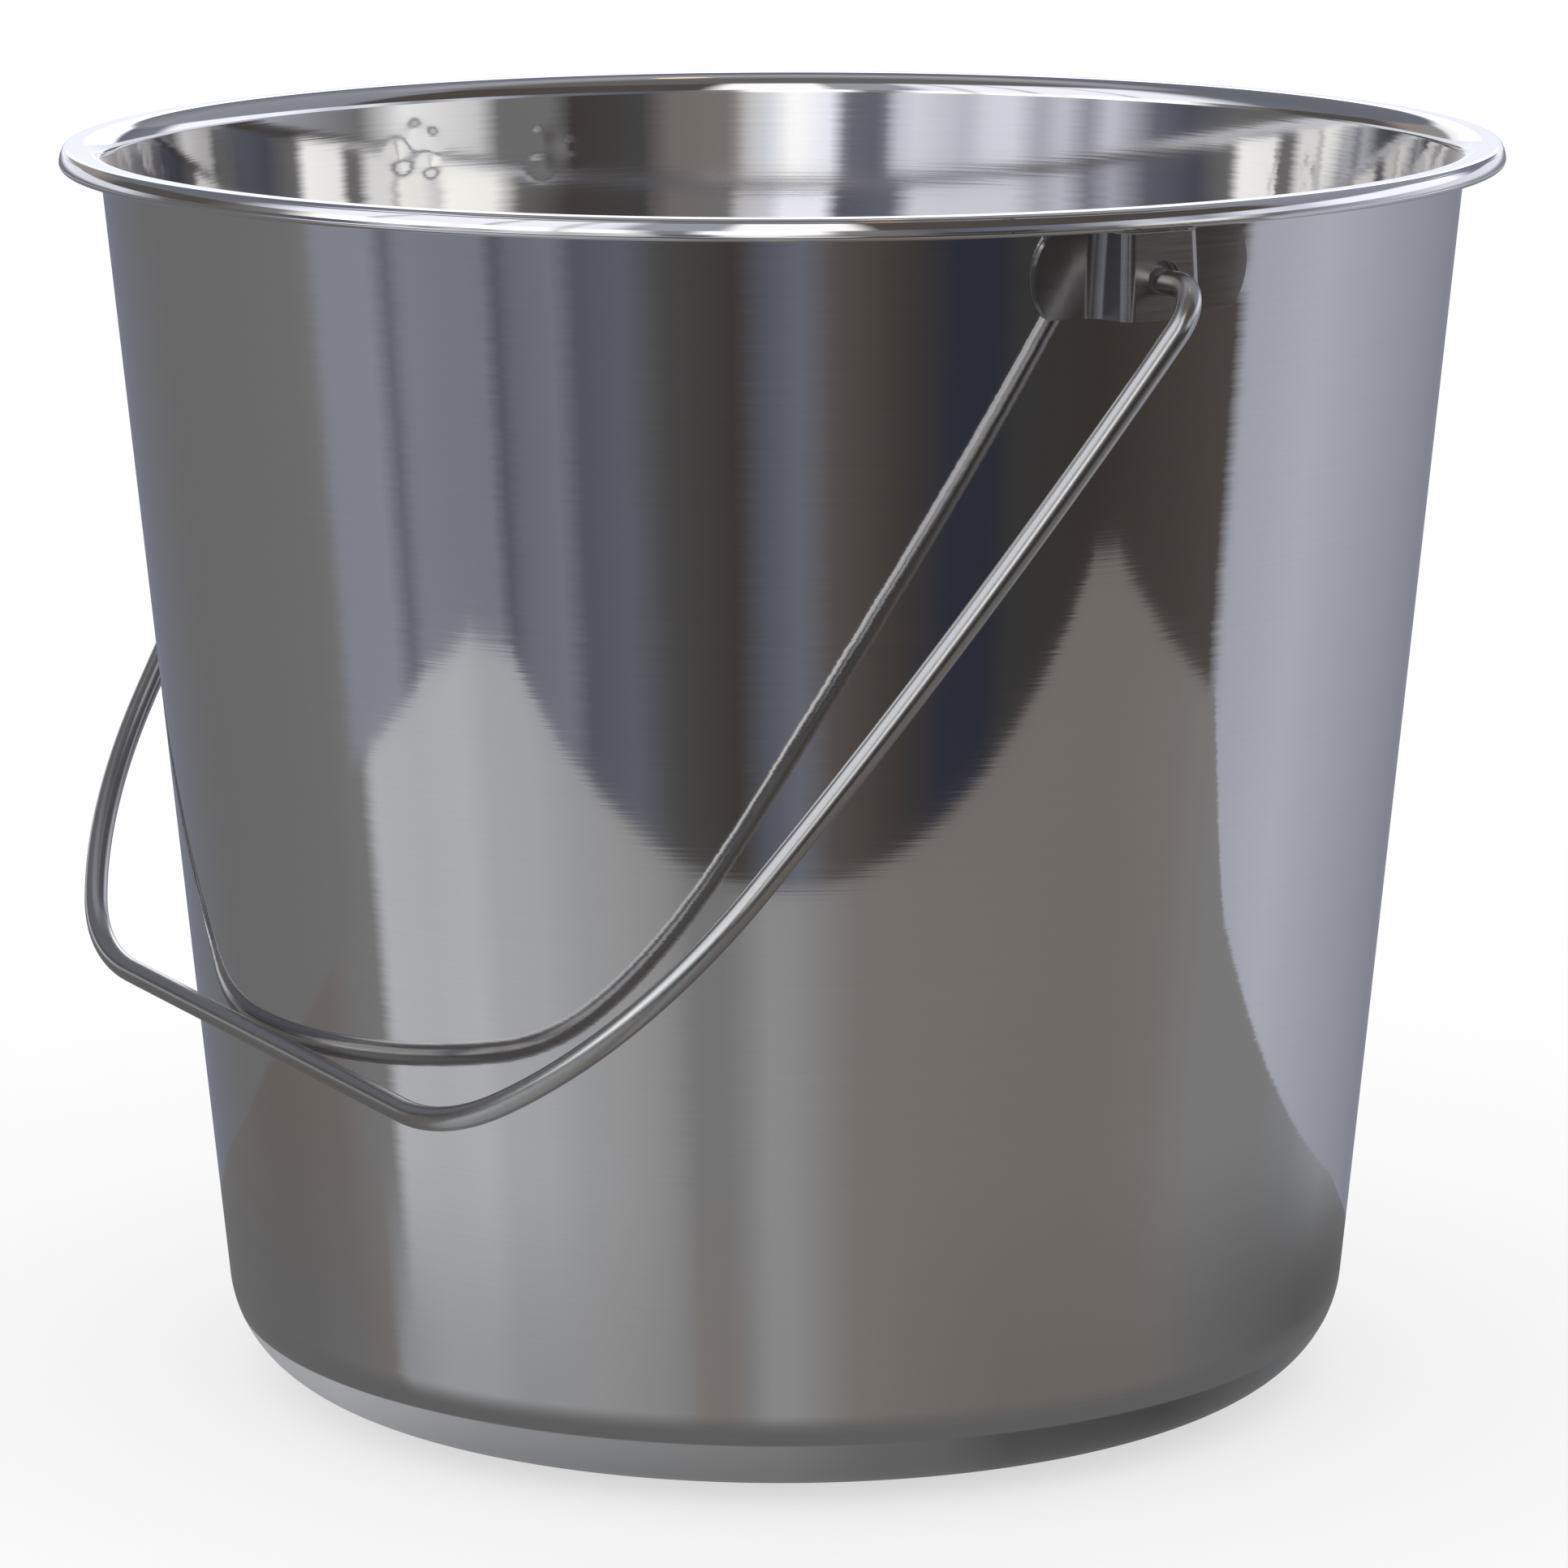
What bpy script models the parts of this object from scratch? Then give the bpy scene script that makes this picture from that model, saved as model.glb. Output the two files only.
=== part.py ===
"""Milk pail: a drawn stainless shell with a rolled rim, two welded ears and a wire bail.

Units are metres and +Z is up. The origin is the centre of the underside of the floor.
The ears sit on the X axis, and the bail hangs towards -Y, leaning on the wall.
"""
import math

import bmesh
import bpy

# Driving dimensions
HEIGHT = 0.254
RIM_RADIUS = 0.146
SHEET = 0.0008
BASE_RADIUS = 0.1139
WALL_SLOPE = 0.0957
CORNER_RADIUS = 0.022
FLARE_RADIUS = 0.0045
CROWN_RADIUS = 0.0012
BAND_RADIUS = 0.0055
BAND_TOP = math.radians(30.0)
BAND_BOTTOM = math.radians(3.0)
CURL_RADIUS = 0.001
RIM_RETURN_GAP = 0.0007
TOUCH_GAP = 0.0003

STRAP = 0.0012
EAR_FACE_X = 0.1462
EAR_BOTTOM = 0.2332
EAR_TOP = 0.2495
FACE_HALF_WIDTH = 0.008
FACE_FLARE = 0.0014
FOOT_HALF_WIDTH = 0.0095
EAR_HALF_LENGTH = 0.0233
EAR_SHIFT = 0.0011
WING_END_RADIUS = 0.012
WING_END_FILLET = 0.0015
FACE_BEND_RADIUS = 0.0024
FOOT_BEND_RADIUS = 0.0034
HOLE_HEIGHT = 0.2410
HOLE_RADIUS = 0.0033

WIRE_RADIUS = 0.00238
HINGE_HEIGHT = 0.2404
LEG_TOP_X = 0.1576
TOP_BEND_RADIUS = 0.0087
PIN_END_X = 0.1403
HEAD_RADIUS = 0.0039
HEAD_LENGTH = 0.0015
HEAD_TAPER = 0.0005
SIDE_PLAY = 0.0022

# The bail is bent by hand, so its two sides differ: the slant at the top of the leg, the radius and the
# length of the leg, the radius and the length of the bend that eases it, and the radius of the corner
NEAR_SIDE = (math.radians(6.7), 0.925, 0.1280, 0.102, 0.0682, 0.0463)
FAR_SIDE = (math.radians(10.5), 0.582, 0.1435, 0.112, 0.0557, 0.051)
GRIP_TILT = math.radians(0.27)
# How far its plane is twisted: out of plane per metre sideways, at the depth of the grip
TWIST = 0.054
GRIP_DEPTH = 0.200

TURN_STEPS = 72
WIRE_BEVEL_RESOLUTION = 4
STEEL = (0.60, 0.60, 0.62, 1.0)

# Worked out from the driving dimensions
WALL_LEAN = math.atan(WALL_SLOPE)


def clear_scene():
    """Remove every object that the file opens with."""
    for item in list(bpy.data.objects):
        bpy.data.objects.remove(item)


def new_collection(name):
    """Make a collection linked to the scene."""
    collection = bpy.data.collections.new(name)
    bpy.context.scene.collection.children.link(collection)
    return collection


def steel(name, roughness):
    """A bare stainless steel material."""
    material = bpy.data.materials.new(name)
    material.use_nodes = True
    shader = material.node_tree.nodes["Principled BSDF"]
    shader.inputs["Base Color"].default_value = STEEL
    shader.inputs["Metallic"].default_value = 1.0
    shader.inputs["Roughness"].default_value = roughness
    return material


def add_object(name, data, collection, material=None):
    """Link an object that carries the given mesh or curve."""
    item = bpy.data.objects.new(name, data)
    collection.objects.link(item)
    if material:
        data.materials.append(material)
    return item


def arc(centre, radius, start, end, steps):
    """Points along an arc, from one angle to the other, ends included."""
    angles = [start + (end - start) * i / steps for i in range(steps + 1)]
    return [(centre[0] + radius * math.cos(a), centre[1] + radius * math.sin(a)) for a in angles]


def rounded(points, radii, steps):
    """A polyline with each inner corner replaced by an arc of its own radius, where that is not zero."""
    path = [points[0]]
    for before, corner, after, radius in zip(points, points[1:], points[2:], radii):
        if not radius:
            path.append(corner)
            continue
        back = (before[0] - corner[0], before[1] - corner[1])
        ahead = (after[0] - corner[0], after[1] - corner[1])
        back_angle = math.atan2(back[1], back[0])
        turn = math.atan2(ahead[1], ahead[0]) - back_angle
        turn = (turn + math.pi) % (2 * math.pi) - math.pi
        middle = back_angle + turn / 2
        reach = radius / math.sin(abs(turn) / 2)
        centre = (corner[0] + reach * math.cos(middle), corner[1] + reach * math.sin(middle))
        half = math.copysign((math.pi - abs(turn)) / 2, turn)
        path += arc(centre, radius, middle + math.pi + half, middle + math.pi - half, steps)
    path.append(points[-1])
    return path


def wall_radius(z):
    """Outer radius of the tapered wall at a height."""
    return BASE_RADIUS + WALL_SLOPE * z


# The pail body

def rim_centres():
    """Centres of the rolled rim's three arcs, as (radius, height): its crown, its band and its curl."""
    band_x = RIM_RADIUS - CURL_RADIUS - (BAND_RADIUS - CURL_RADIUS) * math.cos(BAND_BOTTOM)
    crown_x = band_x + (BAND_RADIUS - CROWN_RADIUS) * math.cos(BAND_TOP)
    crown_z = HEIGHT - CROWN_RADIUS
    band_z = crown_z - (BAND_RADIUS - CROWN_RADIUS) * math.sin(BAND_TOP)
    curl_z = band_z + (BAND_RADIUS - CURL_RADIUS) * math.sin(BAND_BOTTOM)
    return (crown_x, crown_z), (band_x, band_z), (RIM_RADIUS - CURL_RADIUS, curl_z)


def body_profile():
    """The sheet's inner face, which becomes the visible face of the rolled rim: (radius, height) points."""
    corner_x = wall_radius(CORNER_RADIUS) - CORNER_RADIUS / math.cos(WALL_LEAN)
    corner = arc((corner_x, CORNER_RADIUS), CORNER_RADIUS - SHEET, -math.pi / 2, -WALL_LEAN, 7)
    flare_z = HEIGHT - FLARE_RADIUS
    tangent_z = flare_z + FLARE_RADIUS * math.sin(WALL_LEAN)
    inner_radius = wall_radius(tangent_z) - SHEET / math.cos(WALL_LEAN)
    flare_x = inner_radius + FLARE_RADIUS * math.cos(WALL_LEAN)
    flare = arc((flare_x, flare_z), FLARE_RADIUS, math.pi - WALL_LEAN, math.pi / 2, 4)
    crown_centre, band_centre, curl_centre = rim_centres()
    crown = arc(crown_centre, CROWN_RADIUS, math.pi / 2, BAND_TOP, 3)
    band = arc(band_centre, BAND_RADIUS, BAND_TOP, BAND_BOTTOM, 3)
    curl = arc(curl_centre, CURL_RADIUS, BAND_BOTTOM, -math.pi / 2, 3)
    underside = curl[-1][1]
    rolled_end = (wall_radius(underside) + RIM_RETURN_GAP, underside)
    return [(0.0, SHEET)] + corner + flare + crown + band[1:-1] + curl + [rolled_end]


def build_body(collection):
    """The drawn shell: the profile turned about Z, then given the sheet's thickness."""
    points = body_profile()[::-1]
    mesh = bpy.data.meshes.new("pail_body")
    edges = [(i, i + 1) for i in range(len(points) - 1)]
    mesh.from_pydata([(radius, 0.0, z) for radius, z in points], edges, [])
    body = add_object("pail_body", mesh, collection, steel("body_steel", 0.22))
    turn = body.modifiers.new("turn", "SCREW")
    turn.axis = "Z"
    turn.steps = TURN_STEPS
    turn.render_steps = TURN_STEPS
    turn.use_merge_vertices = True
    turn.merge_threshold = 0.00001
    turn.use_smooth_shade = True
    sheet = body.modifiers.new("sheet", "SOLIDIFY")
    sheet.thickness = SHEET
    sheet.offset = 1.0
    sheet.use_even_offset = True
    return body


# The ears

def ear_path(z):
    """Plan of the strap's outer face at a height: wing, side, front, side and wing."""
    wing_radius = wall_radius(z) + TOUCH_GAP + STRAP
    end_angle = math.asin((EAR_HALF_LENGTH + 0.002) / wing_radius)
    foot_angle = math.asin(FOOT_HALF_WIDTH / wing_radius)
    left_wing = arc((0.0, 0.0), wing_radius, -end_angle, -foot_angle, 5)
    right_wing = arc((0.0, 0.0), wing_radius, foot_angle, end_angle, 5)
    flare = FACE_FLARE * ((EAR_TOP - z) / (EAR_TOP - EAR_BOTTOM) - 0.5)
    front = [(EAR_FACE_X, -FACE_HALF_WIDTH), (EAR_FACE_X, FACE_HALF_WIDTH + flare)]
    bends = [FOOT_BEND_RADIUS, FACE_BEND_RADIUS, FACE_BEND_RADIUS, FOOT_BEND_RADIUS]
    radii = [0] * (len(left_wing) - 2) + bends + [0] * (len(right_wing) - 2)
    return rounded(left_wing + front + right_wing, radii, 4)


def ear_strap(collection, material):
    """The bent strap, taller than the ear, as an open sheet between its lower and upper plans."""
    spare = 0.002
    levels = [EAR_BOTTOM - spare, EAR_TOP + spare]
    work = bmesh.new()
    rows = [[work.verts.new((x, y, z)) for x, y in ear_path(z)] for z in levels]
    for i in range(len(rows[0]) - 1):
        work.faces.new((rows[0][i], rows[0][i + 1], rows[1][i + 1], rows[1][i]))
    mesh = bpy.data.meshes.new("ear")
    work.to_mesh(mesh)
    work.free()
    strap = add_object("ear_right", mesh, collection, material)
    thickness = strap.modifiers.new("strap", "SOLIDIFY")
    thickness.thickness = STRAP
    thickness.offset = -1.0
    thickness.use_even_offset = True
    return strap


def ear_outline():
    """Front view of the ear as (y, z) points: a bar with shallow round ends and eased corners."""
    half_height = (EAR_TOP - EAR_BOTTOM) / 2
    middle = (EAR_TOP + EAR_BOTTOM) / 2
    sweep = math.asin(half_height / WING_END_RADIUS)
    end_centre = EAR_HALF_LENGTH - WING_END_RADIUS
    right = arc((EAR_SHIFT + end_centre, middle), WING_END_RADIUS, -sweep, sweep, 8)
    left = arc((EAR_SHIFT - end_centre, middle), WING_END_RADIUS, math.pi - sweep, math.pi + sweep, 8)
    ring = right + left
    closed = [ring[-1]] + ring + [ring[0]]
    radii = [WING_END_FILLET if i in (0, 8, 9, 17) else 0 for i in range(len(ring))]
    return rounded(closed, radii, 2)[1:-1]


def outline_cutter(collection):
    """A block with the ear's front view, deep enough to hold the whole ear along X."""
    depth = 0.03
    work = bmesh.new()
    verts = [work.verts.new((EAR_FACE_X - depth / 2, y, z)) for y, z in ear_outline()]
    face = work.faces.new(verts)
    pushed = bmesh.ops.extrude_face_region(work, geom=[face])
    moved = [v for v in pushed["geom"] if isinstance(v, bmesh.types.BMVert)]
    bmesh.ops.translate(work, verts=moved, vec=(depth, 0.0, 0.0))
    bmesh.ops.recalc_face_normals(work, faces=work.faces[:])
    mesh = bpy.data.meshes.new("ear_outline")
    work.to_mesh(mesh)
    work.free()
    return add_object("ear_outline", mesh, collection)


def hole_cutter(collection):
    """A cylinder along X where the bail's pin goes through the ear's front."""
    work = bmesh.new()
    bmesh.ops.create_cone(work, cap_ends=True, segments=32, radius1=HOLE_RADIUS, radius2=HOLE_RADIUS, depth=0.006)
    mesh = bpy.data.meshes.new("ear_hole")
    work.to_mesh(mesh)
    work.free()
    cutter = add_object("ear_hole", mesh, collection)
    cutter.location = (EAR_FACE_X, 0.0, HOLE_HEIGHT)
    cutter.rotation_euler = (0.0, math.pi / 2, 0.0)
    return cutter


def hide_cutter(cutter):
    """Keep a cutter out of renders."""
    cutter.hide_render = True
    cutter.display_type = "WIRE"


def build_ears(collection, cutters):
    """Two equal ears, the second one turned half a turn about the pail's axis."""
    right = ear_strap(collection, steel("ear_steel", 0.28))
    for name, operation, cutter in (
        ("trim", "INTERSECT", outline_cutter(cutters)),
        ("hole", "DIFFERENCE", hole_cutter(cutters)),
    ):
        hide_cutter(cutter)
        cut = right.modifiers.new(name, "BOOLEAN")
        cut.operation = operation
        cut.object = cutter
    bpy.context.view_layer.update()
    shape = right.evaluated_get(bpy.context.evaluated_depsgraph_get())
    finished = bpy.data.meshes.new_from_object(shape)
    right.modifiers.clear()
    right.data = finished
    left = bpy.data.objects.new("ear_left", finished)
    left.rotation_euler = (0.0, 0.0, math.pi)
    collection.objects.link(left)
    return right, left


# The bail

def bent_on(line, heading, radius, sweep, steps):
    """Carry a line of (x, depth) points on round a bend towards the middle, and return the new heading."""
    x, depth = line[-1]
    centre = (x - radius * math.cos(heading), depth - radius * math.sin(heading))
    line += arc(centre, radius, heading, heading + sweep, steps)[1:]
    return heading + sweep


def bail_side(shape, tilt):
    """One side of the bail, hanging down: (x, depth below the hinge, wire radius) from pin end to grip."""
    slant, leg_radius, leg_length, ease_radius, ease_length, corner_radius = shape
    head = HEAD_RADIUS / WIRE_RADIUS
    head_end = PIN_END_X + HEAD_LENGTH
    side = [(PIN_END_X, 0.0, head), (head_end, 0.0, head), (head_end + HEAD_TAPER, 0.0, 1.0)]
    line = arc((LEG_TOP_X - TOP_BEND_RADIUS, TOP_BEND_RADIUS), TOP_BEND_RADIUS, -math.pi / 2, slant, 8)
    heading = bent_on(line, slant, leg_radius, leg_length / leg_radius, 8)
    heading = bent_on(line, heading, ease_radius, ease_length / ease_radius, 6)
    bent_on(line, heading, corner_radius, math.pi / 2 + tilt - heading, 6)
    return side + [(x, depth, 1.0) for x, depth in line]


def bail_line():
    """The whole bail, hanging down, from the near pin end to the far one: (x, out of plane, depth, radius)."""
    near = bail_side(NEAR_SIDE, GRIP_TILT)
    far = bail_side(FAR_SIDE, -GRIP_TILT)
    (near_x, near_depth, size), (far_x, far_depth, _) = near[-1], far[-1]
    steps = [i / 10 for i in range(1, 10)]
    grip = [(near_x - (near_x + far_x) * t, near_depth + (far_depth - near_depth) * t, size) for t in steps]
    whole = near + grip + [(-x, depth, size) for x, depth, size in far[::-1]]
    shifted = [(x + SIDE_PLAY, depth, size) for x, depth, size in whole]
    return [(x, TWIST * x * depth / GRIP_DEPTH, depth, size) for x, depth, size in shifted]


def wall_clearance(points, angle):
    """Least gap between the hanging wire and the pail's wall at an angle from straight down."""
    least = 1.0
    for x, out, depth in points:
        if depth < 0.02:
            continue
        y = out * math.cos(angle) - depth * math.sin(angle)
        z = HINGE_HEIGHT - out * math.sin(angle) - depth * math.cos(angle)
        least = min(least, (math.hypot(x, y) - wall_radius(z)) * math.cos(WALL_LEAN) - WIRE_RADIUS)
    return least


def hang_angle(points):
    """Angle from straight down at which the grip rests on the wall."""
    low, high = math.radians(25.0), math.radians(60.0)
    for _ in range(40):
        middle = (low + high) / 2
        if wall_clearance(points, middle) < TOUCH_GAP:
            low = middle
        else:
            high = middle
    return high


def build_bail(collection):
    """The wire bail: a round wire on an empty that sits on the hinge axis and sets the hang."""
    whole = bail_line()
    curve = bpy.data.curves.new("bail_handle", "CURVE")
    curve.dimensions = "3D"
    curve.bevel_depth = WIRE_RADIUS
    curve.bevel_resolution = WIRE_BEVEL_RESOLUTION
    curve.use_fill_caps = True
    spline = curve.splines.new("POLY")
    spline.points.add(len(whole) - 1)
    for point, (x, out, depth, size) in zip(spline.points, whole):
        point.co = (x, out, -depth, 1.0)
        point.radius = size
    hinge = bpy.data.objects.new("bail_hinge", None)
    hinge.location = (0.0, 0.0, HINGE_HEIGHT)
    hinge.rotation_euler = (-hang_angle([point[:3] for point in whole]), 0.0, 0.0)
    collection.objects.link(hinge)
    bail = add_object("bail_handle", curve, collection, steel("bail_steel", 0.25))
    bail.parent = hinge
    return bail


def main():
    clear_scene()
    parts = new_collection("milk_pail")
    cutters = new_collection("cutters")
    build_body(parts)
    build_ears(parts, cutters)
    build_bail(parts)


main()
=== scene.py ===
"""Milk pail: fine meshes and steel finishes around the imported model, with a soft studio set.

Units are metres and +Z is up. The origin is the centre of the underside of the floor.
"""
import math

import bmesh
import bpy
import numpy as np
from mathutils import Matrix


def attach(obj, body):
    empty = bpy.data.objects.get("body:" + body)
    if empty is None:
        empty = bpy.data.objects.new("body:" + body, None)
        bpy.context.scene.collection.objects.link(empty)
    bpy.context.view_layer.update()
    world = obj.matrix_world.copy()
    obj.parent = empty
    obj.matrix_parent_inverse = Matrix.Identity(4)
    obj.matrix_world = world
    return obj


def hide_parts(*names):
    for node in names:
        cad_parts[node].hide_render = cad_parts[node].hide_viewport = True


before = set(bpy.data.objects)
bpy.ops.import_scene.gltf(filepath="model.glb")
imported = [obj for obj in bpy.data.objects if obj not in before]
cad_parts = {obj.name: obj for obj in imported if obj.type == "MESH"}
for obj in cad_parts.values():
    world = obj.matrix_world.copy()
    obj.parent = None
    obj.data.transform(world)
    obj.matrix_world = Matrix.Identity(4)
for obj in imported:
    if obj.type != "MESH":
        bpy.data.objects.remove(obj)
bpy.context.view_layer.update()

# The pail body
HEIGHT = 0.254
RIM_RADIUS = 0.146
SHEET = 0.0008
BASE_RADIUS = 0.1139
WALL_SLOPE = 0.0957
CORNER_RADIUS = 0.022
FLARE_RADIUS = 0.0045
CROWN_RADIUS = 0.0012
BAND_RADIUS = 0.0055
BAND_TOP = math.radians(30.0)
BAND_BOTTOM = math.radians(3.0)
CURL_RADIUS = 0.001
RIM_RETURN_GAP = 0.0007
TOUCH_GAP = 0.0003
# The shell's mesh is finer above this height, and this far to each side of an ear's middle
FINE_ABOVE = 0.229
FINE_HALF_LENGTH = 0.0285
WALL_LEAN = math.atan(WALL_SLOPE)

# The ears
STRAP = 0.0012
EAR_FACE_X = 0.1462
EAR_BOTTOM = 0.2332
EAR_TOP = 0.2495
FACE_HALF_WIDTH = 0.008
FACE_FLARE = 0.0014
FOOT_HALF_WIDTH = 0.0095
EAR_HALF_LENGTH = 0.0233
EAR_SHIFT = 0.0011
WING_END_RADIUS = 0.012
WING_END_FILLET = 0.0015
FACE_BEND_RADIUS = 0.0024
FOOT_BEND_RADIUS = 0.0034
HOLE_HEIGHT = 0.2410
HOLE_RADIUS = 0.0033
EDGE_BREAK = 0.00016
# The strap is made this much larger all round, and then cut between these distances from the axis
SPARE = 0.002
OUTLINE_CUT = (0.12, 0.15)
HOLE_CUT = (0.1435, 0.1485)
# Radius of the wall behind the ears
EAR_WALL_RADIUS = 0.137

# The bail
WIRE_RADIUS = 0.00238
HINGE_HEIGHT = 0.2404
LEG_TOP_X = 0.1576
TOP_BEND_RADIUS = 0.0087
PIN_END_X = 0.1403
HEAD_RADIUS = 0.0039
HEAD_LENGTH = 0.0015
HEAD_TAPER = 0.0005
HEAD_CHAMFER = 0.0003
# The straight pin has its last ring of vertices this far before the top bend
BEND_LEAD = 0.0006
SIDE_PLAY = 0.0022
WIRE_SIDES = 40

# The bail is bent by hand, so its two sides differ: the slant at the top of the leg, the leg's
# radius and length, the radius and length of the bend that eases it, and the corner's radius
NEAR_SIDE = (math.radians(6.7), 0.925, 0.1280, 0.102, 0.0682, 0.0463)
FAR_SIDE = (math.radians(10.5), 0.582, 0.1435, 0.112, 0.0557, 0.051)
GRIP_TILT = math.radians(0.27)
# How far its plane is twisted: out of plane per metre sideways, at the depth of the grip
TWIST = 0.054
GRIP_DEPTH = 0.200

# Spot welds that hold the ears: (sideways from the ear's middle, height, dimple's width and depth)
WELDS = (
    (0.0172, 0.2443, 0.0019, 0.00007),
    (0.0218, 0.2384, 0.0022, 0.00009),
    (0.0142, 0.2363, 0.0016, 0.00006),
    (0.0128, 0.2424, 0.0015, 0.00005),
    (-0.0134, 0.2358, 0.0018, 0.00007),
    (-0.0131, 0.2412, 0.0019, 0.00008),
    (-0.0204, 0.2390, 0.0017, 0.00006),
)
# How much of a dimple's depth shows on the outside of the sheet
OUTSIDE_SHARE = 0.6
# Only the wall has dimples, where the Z of the sheet's normal is less than this
WALL_STEEPNESS = 0.2

# The camera
CAMERA_AZIMUTH = math.radians(61.2)
CAMERA_DISTANCE = 1.3877
CAMERA_HEIGHT = 0.3973
CAMERA_PITCH = 0.19698
CAMERA_ROLL = -0.0026
# In millimetres
CAMERA_LENS = 157.33
SENSOR_WIDTH = 36.0
CLIP_RANGE = (0.05, 100.0)


def arc(centre, radius, start, end, steps):
    """Points along an arc, from one angle to the other, ends included."""
    angles = [start + (end - start) * i / steps for i in range(steps + 1)]
    return [(centre[0] + radius * math.cos(a), centre[1] + radius * math.sin(a)) for a in angles]


def rounded(points, radii, steps):
    """A polyline with an arc of its own radius at each inner corner, where that is not zero."""
    path = [points[0]]
    for before, corner, after, radius in zip(points, points[1:], points[2:], radii):
        if not radius:
            path.append(corner)
            continue
        back = (before[0] - corner[0], before[1] - corner[1])
        ahead = (after[0] - corner[0], after[1] - corner[1])
        back_angle = math.atan2(back[1], back[0])
        turn = math.atan2(ahead[1], ahead[0]) - back_angle
        turn = (turn + math.pi) % (2 * math.pi) - math.pi
        middle = back_angle + turn / 2
        reach = radius / math.sin(abs(turn) / 2)
        centre = (corner[0] + reach * math.cos(middle), corner[1] + reach * math.sin(middle))
        half = math.copysign((math.pi - abs(turn)) / 2, turn)
        path += arc(centre, radius, middle + math.pi + half, middle + math.pi - half, steps)
    path.append(points[-1])
    return path


def wall_radius(z):
    """Outer radius of the tapered wall at a height."""
    return BASE_RADIUS + WALL_SLOPE * z


def link(name, data, *materials):
    """A new object in the scene that carries the given data."""
    item = bpy.data.objects.new(name, data)
    bpy.context.scene.collection.objects.link(item)
    for material in materials:
        data.materials.append(material)
    return item


# The pail body

def rim_centres():
    """Centres of the rolled rim's crown, band and curl, as (radius, height)."""
    band_x = RIM_RADIUS - CURL_RADIUS - (BAND_RADIUS - CURL_RADIUS) * math.cos(BAND_BOTTOM)
    crown_x = band_x + (BAND_RADIUS - CROWN_RADIUS) * math.cos(BAND_TOP)
    crown_z = HEIGHT - CROWN_RADIUS
    band_z = crown_z - (BAND_RADIUS - CROWN_RADIUS) * math.sin(BAND_TOP)
    curl_z = band_z + (BAND_RADIUS - CURL_RADIUS) * math.sin(BAND_BOTTOM)
    return (crown_x, crown_z), (band_x, band_z), (RIM_RADIUS - CURL_RADIUS, curl_z)


def sheet_path():
    """The sheet's inner face from the floor's centre to the end of the roll, as rows of radius,
    height and normal. The normal points away from the sheet, which is up on the floor."""
    rows = []

    def bend(centre, radius, start, end, steps, sign):
        """An arc of rows round a centre. Its normals point away from it, or at it if sign is -1."""
        for i in range(steps + 1):
            angle = start + (end - start) * i / steps
            out, up = math.cos(angle), math.sin(angle)
            rows.append((centre[0] + radius * out, centre[1] + radius * up, sign * out, sign * up))

    def run(end, steps):
        """Rows on the straight line from the last row to just before the end."""
        start = rows[-1]
        for i in range(1, steps):
            here = [start[k] + (end[k] - start[k]) * (i / steps) for k in (0, 1)]
            rows.append((here[0], here[1], start[2], start[3]))

    corner_x = wall_radius(CORNER_RADIUS) - CORNER_RADIUS / math.cos(WALL_LEAN)
    rows.append((0.0, SHEET, 0.0, 1.0))
    run((corner_x, SHEET), 12)
    bend((corner_x, CORNER_RADIUS), CORNER_RADIUS - SHEET, -math.pi / 2, -WALL_LEAN, 24, -1)
    flare_z = HEIGHT - FLARE_RADIUS
    tangent_z = flare_z + FLARE_RADIUS * math.sin(WALL_LEAN)
    inner_radius = wall_radius(tangent_z) - SHEET / math.cos(WALL_LEAN)
    fine_start = (wall_radius(FINE_ABOVE) - SHEET / math.cos(WALL_LEAN), FINE_ABOVE)
    run(fine_start, 40)
    rows.append(fine_start + rows[-1][2:])
    run((inner_radius, tangent_z), 52)
    flare_x = inner_radius + FLARE_RADIUS * math.cos(WALL_LEAN)
    bend((flare_x, flare_z), FLARE_RADIUS, math.pi - WALL_LEAN, math.pi / 2, 14, 1)
    crown_centre, band_centre, curl_centre = rim_centres()
    bend(crown_centre, CROWN_RADIUS, math.pi / 2, BAND_TOP, 10, 1)
    bend(band_centre, BAND_RADIUS, BAND_TOP, BAND_BOTTOM, 10, 1)
    bend(curl_centre, CURL_RADIUS, BAND_BOTTOM, -math.pi / 2, 8, 1)
    underside = rows[-1][1]
    rows.append((wall_radius(underside) + RIM_RETURN_GAP, underside, 0.0, -1.0))
    return rows


def columns():
    """Angles round the axis, closer together behind the ears where the weld dimples are."""
    fine = FINE_HALF_LENGTH / EAR_WALL_RADIUS
    near = np.linspace(-fine, fine, 161)
    side = np.linspace(fine, math.pi - fine, 121)[1:-1]
    return np.concatenate([near, side, near + math.pi, side + math.pi])


def dimples(angles, heights):
    """How far the welds push the wall outwards, for each height and angle."""
    push = np.zeros((len(heights), len(angles)))
    for turn in (0.0, math.pi):
        across = (angles - turn + math.pi) % (2 * math.pi) - math.pi
        for sideways, height, width, depth in WELDS:
            beside = (across * EAR_WALL_RADIUS - sideways)[None, :]
            above = (heights - height)[:, None]
            push += depth * np.exp(-(beside ** 2 + above ** 2) / (2 * width ** 2))
    return push


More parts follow.
